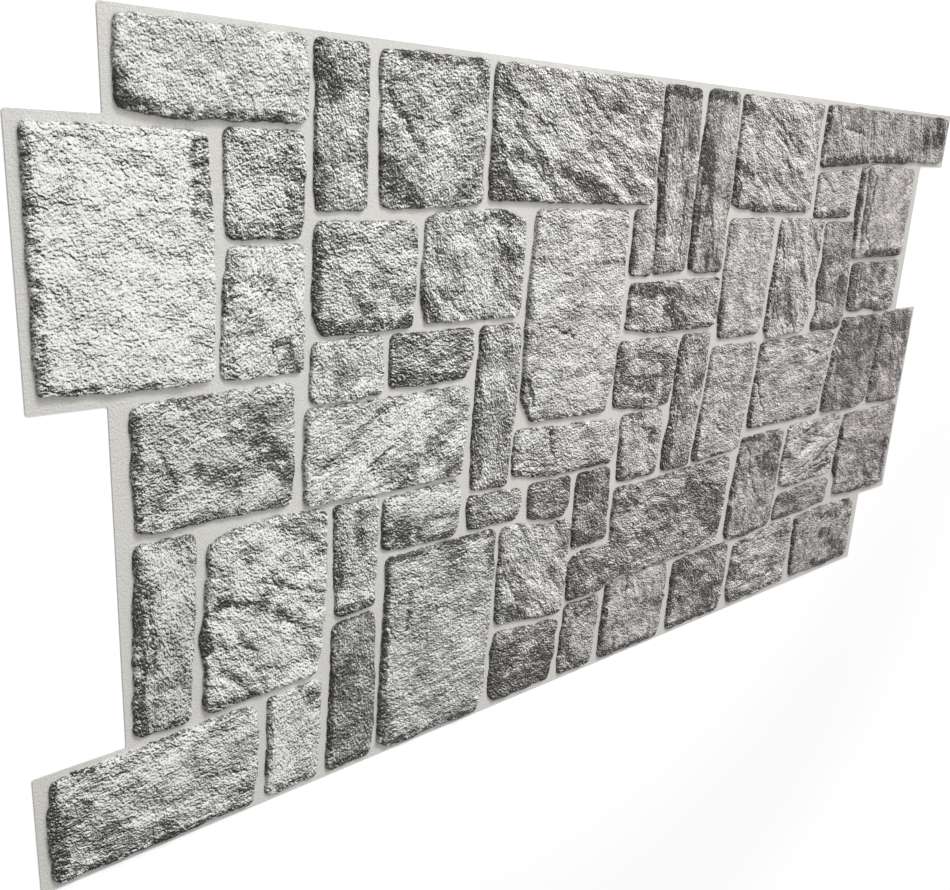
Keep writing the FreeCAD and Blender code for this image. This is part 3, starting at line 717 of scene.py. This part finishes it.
def true_mark(mark, low, high):
    """A mark at its true place. One that is all on the left wall, painted shade of that wall, is no wider
    than that wall.
    """
    start_x, start_y, start_held = on_crown(mark[0], mark[1], low, high, True)
    end_x, end_y, end_held = on_crown(mark[2], mark[3], low, high, True)
    width = min(mark[4], WALL_MARK_WIDTH) if start_held and end_held else mark[4]
    if (start_x, start_y) == (end_x, end_y):
        end_x += 1
    return start_x, start_y, end_x, end_y, width, mark[5]


def true_crack(crack, low, high):
    """A crack at its true place, clear of the left wall."""
    start_x, start_y, _ = on_crown(crack[0], crack[1], low, high, False)
    end_x, end_y, _ = on_crown(crack[2], crack[3], low, high, False)
    clear = round(low[0] + CRACK_INSET)
    return max(start_x, clear), start_y, max(end_x, clear), end_y, crack[4]


WEAR_SIZE = 12.0


def stone_skin(name, outline, crown, spacing, back):
    """One skin of a stone, front or back: its points, its print with painted light and shade, and the size
    of its grid.
    """
    middle, tone, contrast, angle, stretch, ledges, marks, cracks = STONES[name]
    low = outline.min(0) - DRAWN_MARGIN
    high = outline.max(0) + DRAWN_MARGIN
    marks = [true_mark(mark, low, high) for mark in marks]
    cracks = [true_crack(crack, low, high) for crack in cracks]
    seed = int(middle[0]) * 7 + int(middle[1]) * 13
    fine, inward, lengths = uneven_outline(outline, seed)
    least = len(SHOULDER) + 2
    across = 2 * max(least, int(round((lengths[0] + lengths[2]) / 4 / spacing)))
    up = 2 * max(least, int(round((lengths[1] + lengths[3]) / 4 / spacing)))
    points, lifts = stone_grid(fine, inward, across, up)
    distance, shaded = rim_distance(points, fine, inward)
    height, pits, split, depth = split_face(points, seed, angle, stretch, ledges, cracks)
    wear = 0.5 + 0.5 * slope_noise(points[:, 0] / WEAR_SIZE, points[:, 1] / WEAR_SIZE, seed + 40)
    drop = (0.10 + 1.3 * wear ** 3) * np.exp(-distance / (0.9 + 2.6 * wear))
    level = crown - 0.85
    top = np.minimum(level + height - drop, crown - 0.02)
    if back:
        top = np.minimum(level - 0.24 * pits + height - drop, crown - 0.5) - 0.55
    z = np.maximum(0.5 + lifts * (top - 0.5), 0.06)
    if back:
        z = np.maximum(z - 0.35, 0.03)
    places = np.column_stack([(points - FRAME_OFFSET) * MM, z * MM])
    if back:
        return places, None, across, up
    # Painted light and shade: where the split face falls toward the light it prints lighter, where it rises
    # toward the light darker.
    ahead = split_face(points + LIGHT_FROM * 1.6, seed, angle, stretch, ledges, cracks)[0]
    painted_slope_light = np.clip((height - ahead) / 0.45, -1, 1)
    cloud = layered_noise(points[:, 0] / 24, points[:, 1] / 24, seed + 70, 3, 0.6)
    # The print's base tone and cloud, with the painted slope light and a little painted highlight on raised
    # pits.
    print_and_painted_light_tone = tone + 0.015 + 0.35 * painted_slope_light + 0.07 * pits + 0.27 * cloud * contrast
    # Painted highlight and shade: high terraces print lighter, the lowest terraces and the cracks darker.
    print_and_painted_light_tone += 0.06 * split - 0.45 * depth
    print_and_painted_light_tone -= 0.18 * np.clip(-split - 0.35, 0, 0.4) / 0.4 * contrast
    # Painted shade on rims that face away from the light, and a thin painted shade at the foot of every
    # stone, where it meets the web.
    print_and_painted_light_tone -= 0.20 * shaded * wear * np.exp(-(distance / (1.0 + 1.6 * wear)) ** 2)
    print_and_painted_light_tone -= 0.22 * np.exp(-(distance / 0.6) ** 2)
    mottle = 0.78 + 0.9 * layered_noise(points[:, 0] / 6, points[:, 1] / 6, seed + 80, 2)
    # Dark marks along the left and lower rims and walls are partly printed dark rims, partly painted shade.
    for number, mark in enumerate(marks):
        cover = stroke_strength(points, mark[:5], seed + 100 + number) * np.clip(mottle, 0.1, 1.2)
        print_and_painted_light_tone -= mark[5] * cover * (1.45 if mark[5] > 0 else 1)
    print_and_painted_light_tone = np.clip(print_and_painted_light_tone, 0.16, 1.10)
    turn = math.radians(angle)
    along = (points[:, 0] * math.cos(turn) + points[:, 1] * math.sin(turn)) / stretch ** 0.4
    over = -points[:, 0] * math.sin(turn) + points[:, 1] * math.cos(turn)
    grain = np.column_stack([along, over, seed * 1.7 + z])
    step_along = (LIGHT_FROM[0] * math.cos(turn) + LIGHT_FROM[1] * math.sin(turn)) / stretch ** 0.4 * 0.8
    step_over = (-LIGHT_FROM[0] * math.sin(turn) + LIGHT_FROM[1] * math.cos(turn)) * 0.8
    skin_print_and_painted_light = {
        "grain": grain,
        "light_step": np.tile([step_along, step_over, 0.0], (len(points), 1)),
        "print_and_painted_light_tone": print_and_painted_light_tone,
        "print_and_painted_light_contrast": np.full(len(points), contrast),
    }
    return places, skin_print_and_painted_light, across, up


def rim_order(across, up):
    """Numbers of a grid's outer points, once round from its lower left corner."""
    wide = across + 1
    bottom = list(range(0, across))
    right = [row * wide + across for row in range(0, up)]
    top = [up * wide + column for column in range(across, 0, -1)]
    left = [row * wide for row in range(up, 0, -1)]
    return bottom + right + top + left


def formed_stone(name, outline, crown):
    """A stone as a thin hollow shell: a fine front skin and a coarse back skin, joined at the rim."""
    front, skin_print_and_painted_light, across, up = stone_skin(name, outline, crown, FRONT_SPACING, False)
    back, _, back_across, back_up = stone_skin(name, outline, crown, BACK_SPACING, True)
    bpy.ops.object.select_all(action="DESELECT")
    bpy.ops.mesh.primitive_grid_add(x_subdivisions=back_across, y_subdivisions=back_up, size=1)
    back_skin = bpy.context.active_object
    back_skin.data.vertices.foreach_set("co", back.astype(np.float32).ravel())
    bpy.ops.object.mode_set(mode="EDIT")
    bpy.ops.mesh.select_all(action="SELECT")
    bpy.ops.mesh.flip_normals()
    bpy.ops.object.mode_set(mode="OBJECT")
    bpy.ops.object.select_all(action="DESELECT")
    bpy.ops.mesh.primitive_grid_add(x_subdivisions=across, y_subdivisions=up, size=1)
    stone = bpy.context.active_object
    stone.name = name
    stone.data.vertices.foreach_set("co", front.astype(np.float32).ravel())
    data = stone.data
    for label, kind, key in (("grain", "FLOAT_VECTOR", "vector"),
                             ("light_step", "FLOAT_VECTOR", "vector"),
                             ("print_and_painted_light_tone", "FLOAT", "value"),
                             ("print_and_painted_light_contrast", "FLOAT", "value")):
        layer = data.attributes.new(label, kind, "POINT")
        layer.data.foreach_set(key, skin_print_and_painted_light[label].astype(np.float32).ravel())
    layer = data.attributes.new("printed", "FLOAT", "POINT")
    layer.data.foreach_set("value", np.ones(len(front), np.float32))
    front_count = len(front)
    back_skin.select_set(True)
    bpy.ops.object.join()
    shell = bmesh.new()
    shell.from_mesh(stone.data)
    shell.verts.ensure_lookup_table()
    front_rim = [shell.verts[number] for number in rim_order(across, up)]
    back_rim = [shell.verts[front_count + number] for number in rim_order(back_across, back_up)]
    step = 0
    for number in range(len(back_rim)):
        reached = round((number + 1) * len(front_rim) / len(back_rim))
        here = back_rim[number]
        beyond = back_rim[(number + 1) % len(back_rim)]
        while step < reached:
            shell.faces.new((front_rim[(step + 1) % len(front_rim)], front_rim[step % len(front_rim)], here))
            step += 1
        shell.faces.new((here, beyond, front_rim[step % len(front_rim)]))
    bmesh.ops.recalc_face_normals(shell, faces=shell.faces)
    for face in shell.faces:
        face.smooth = True
    shell.to_mesh(stone.data)
    shell.free()
    stone.location = (0, 0, 0)
    return stone


def range_node(tree, value, low, high, at_low, at_high):
    """A smooth step from one value to another."""
    node = tree.nodes.new("ShaderNodeMapRange")
    node.interpolation_type = "SMOOTHSTEP"
    for number, setting in enumerate((low, high, at_low, at_high), start=1):
        node.inputs[number].default_value = setting
    tree.links.new(value, node.inputs["Value"])
    return node.outputs["Result"]


def noise_node(tree, vector, scale, detail, roughness, distortion=0.0):
    node = tree.nodes.new("ShaderNodeTexNoise")
    node.inputs["Distortion"].default_value = distortion
    node.inputs["Scale"].default_value = scale
    node.inputs["Detail"].default_value = detail
    node.inputs["Roughness"].default_value = roughness
    tree.links.new(vector, node.inputs["Vector"])
    return node.outputs["Fac"]


def split_grain():
    """The split stone's small relief at a place in millimetres: its height and its dark hollows."""
    group = bpy.data.node_groups.new("split_grain", "ShaderNodeTree")
    group.interface.new_socket("Place", in_out="INPUT", socket_type="NodeSocketVector")
    group.interface.new_socket("Height", in_out="OUTPUT", socket_type="NodeSocketFloat")
    group.interface.new_socket("Hollows", in_out="OUTPUT", socket_type="NodeSocketFloat")
    turned = group.nodes.new("ShaderNodeVectorRotate")
    turned.rotation_type = "EULER_XYZ"
    turned.inputs["Rotation"].default_value = (0.61, 0.83, 0.37)
    group.links.new(group.nodes.new("NodeGroupInput").outputs["Place"], turned.inputs["Vector"])
    place = turned.outputs["Vector"]
    result = group.nodes.new("NodeGroupOutput")
    veins = noise_node(group, place, 0.17, 4.0, 0.62)
    near_vein = math_node(group, "ABSOLUTE", math_node(group, "SUBTRACT", veins, 0.5), 0.0)
    vein = range_node(group, near_vein, 0.003, 0.020, 1.0, 0.0)
    veined = range_node(group, noise_node(group, place, 0.10, 1.0, 0.5), 0.46, 0.60, 0.0, 1.0)
    fissures = math_node(group, "MULTIPLY", vein, veined)
    dents = noise_node(group, place, 0.70, 4.0, 0.66, 0.4)
    pits = range_node(group, dents, 0.34, 0.39, 1.0, 0.0)
    hollows = math_node(group, "MAXIMUM", fissures, pits)
    levels = math_node(group, "MULTIPLY", noise_node(group, place, 0.060, 4.0, 0.55), 8.0)
    ledge = range_node(group, math_node(group, "FRACT", levels, 0.0), 0.42, 0.58, 0.0, 1.0)
    slabs = math_node(group, "ADD", math_node(group, "FLOOR", levels, 0.0), ledge)
    rough = math_node(group, "MULTIPLY_ADD", slabs, 0.13, math_node(group, "MULTIPLY", dents, 0.72))
    height = math_node(group, "MULTIPLY_ADD", hollows, -0.15, rough)
    group.links.new(height, result.inputs["Height"])
    group.links.new(hollows, result.inputs["Hollows"])
    return group


SPLIT_GROUP = split_grain()


def split_node(tree, place):
    node = tree.nodes.new("ShaderNodeGroup")
    node.node_tree = SPLIT_GROUP
    tree.links.new(place, node.inputs["Place"])
    return node


stone_print_and_painted_light, tree, shader = sheet_material("stone_print_and_painted_light")
grain_place = attribute_node(tree, "grain").outputs["Vector"]
light_step = attribute_node(tree, "light_step").outputs["Vector"]
lit_place = tree.nodes.new("ShaderNodeVectorMath")
lit_place.operation = "ADD"
tree.links.new(grain_place, lit_place.inputs[0])
tree.links.new(light_step, lit_place.inputs[1])
here = split_node(tree, grain_place)
toward_light = split_node(tree, lit_place.outputs["Vector"])
grain = tree.nodes.new("ShaderNodeGroup")
grain.node_tree = GRAIN_GROUP
grain.inputs["Pebble Scale"].default_value = 0.7
tree.links.new(grain_place, grain.inputs["Place"])
tone = attribute_node(tree, "print_and_painted_light_tone").outputs["Fac"]
contrast = attribute_node(tree, "print_and_painted_light_contrast").outputs["Fac"]
# Painted light and shade in the fine grain: relief that falls toward the light prints lighter, relief that
# rises toward it darker, the dark side more strongly.
falling = math_node(tree, "SUBTRACT", here.outputs["Height"], toward_light.outputs["Height"])
shade = math_node(tree, "MULTIPLY", falling, 5.8)
painted_emboss_light = math_node(tree, "MINIMUM", shade, math_node(tree, "MULTIPLY", falling, 3.8))
speckled = math_node(tree, "MULTIPLY_ADD", grain.outputs["Speckle"], 0.50, -0.25)
emboss_light_and_speckle = math_node(tree, "ADD", painted_emboss_light, speckled)
# The grain's fissures and pits print darker: partly dark print, partly painted shade.
painted_light_and_speckle = math_node(tree, "MULTIPLY_ADD", here.outputs["Hollows"], -0.72, emboss_light_and_speckle)
# The tone and the grain's painted light, shade and speckle, weighted by the stone's contrast, turned into
# ink colours.
weighted = math_node(tree, "MULTIPLY", painted_light_and_speckle, math_node(tree, "MULTIPLY_ADD", contrast, 0.9, 0.35))
ink_and_painted_light = math_node(tree, "ADD", tone, weighted, clamp=True)
ink_and_painted_light_colour = ramp_node(tree, ink_and_painted_light, [
    (0.08, (0.018, 0.017, 0.015)),
    (0.34, (0.100, 0.098, 0.092)),
    (0.58, (0.32, 0.315, 0.301)),
    (0.80, (0.68, 0.675, 0.644)),
    (1.00, (0.94, 0.94, 0.904)),
])
spot = tree.nodes.new("ShaderNodeSeparateXYZ")
place = tree.nodes.new("ShaderNodeTexCoord")
tree.links.new(place.outputs["Object"], spot.inputs["Vector"])
warmth = math_node(tree, "MULTIPLY_ADD", spot.outputs["X"], 1.3, 0.35, clamp=True)
tinted = tree.nodes.new("ShaderNodeMix")
tinted.data_type = "RGBA"
tinted.blend_type = "MULTIPLY"
tree.links.new(warmth, tinted.inputs["Factor"])
tree.links.new(ink_and_painted_light_colour, tinted.inputs[6])
tinted.inputs[7].default_value = (1.0, 0.93, 0.94, 1)
printed = attribute_node(tree, "printed")
coloured = mix_colours(tree, printed.outputs["Fac"], PLAIN_PVC, tinted.outputs[2])
tree.links.new(coloured, shader.inputs["Base Color"])
roughness = math_node(tree, "MULTIPLY_ADD", grain.outputs["Speckle"], -0.35, 0.66)
tree.links.new(roughness, shader.inputs["Roughness"])
shader.inputs["Specular IOR Level"].default_value = 0.32
raised_grit = math_node(tree, "MULTIPLY_ADD", grain.outputs["Height"], 0.30, here.outputs["Height"])
grain_bump(tree, shader, raised_grit, 0.0020)

# Each stone is built on its own outline in the web, and its crown keeps the height that the
# part's solid has there. The stones are then joined in five groups along the panel.
panel_mesh = bmesh.new()
panel_mesh.from_mesh(panel.data)
bmesh.ops.remove_doubles(panel_mesh, verts=panel_mesh.verts, dist=1e-6)
panel_points = np.array([vert.co[:] for vert in panel_mesh.verts]) / MM
panel_points[:, :2] += FRAME_OFFSET
panel_mesh.free()

GROUP_WIDTH = 980 / 5
groups = {}
for outline in stone_outlines:
    low = outline.min(0)
    high = outline.max(0)
    middle = (low + high) / 2
    name = min(STONES, key=lambda label: np.abs(np.array(STONES[label][0]) - middle).sum())
    inside = np.all((panel_points[:, :2] > low) & (panel_points[:, :2] < high), axis=1)
    crown = panel_points[inside, 2].max()
    stone = formed_stone(name, outline, crown)
    groups.setdefault(int(middle[0] // GROUP_WIDTH), []).append(stone)

GROUP_NAMES = ["left_end_stones", "left_stones", "middle_stones", "right_stones", "right_end_stones"]
for number, stones in sorted(groups.items()):
    bpy.ops.object.select_all(action="DESELECT")
    for stone in stones:
        stone.select_set(True)
    bpy.context.view_layer.objects.active = stones[0]
    bpy.ops.object.join()
    group = bpy.context.active_object
    group.name = GROUP_NAMES[number]
    group.data.materials.append(stone_print_and_painted_light)
    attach(group, "root")
    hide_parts("wall_panel")

low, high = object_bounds()
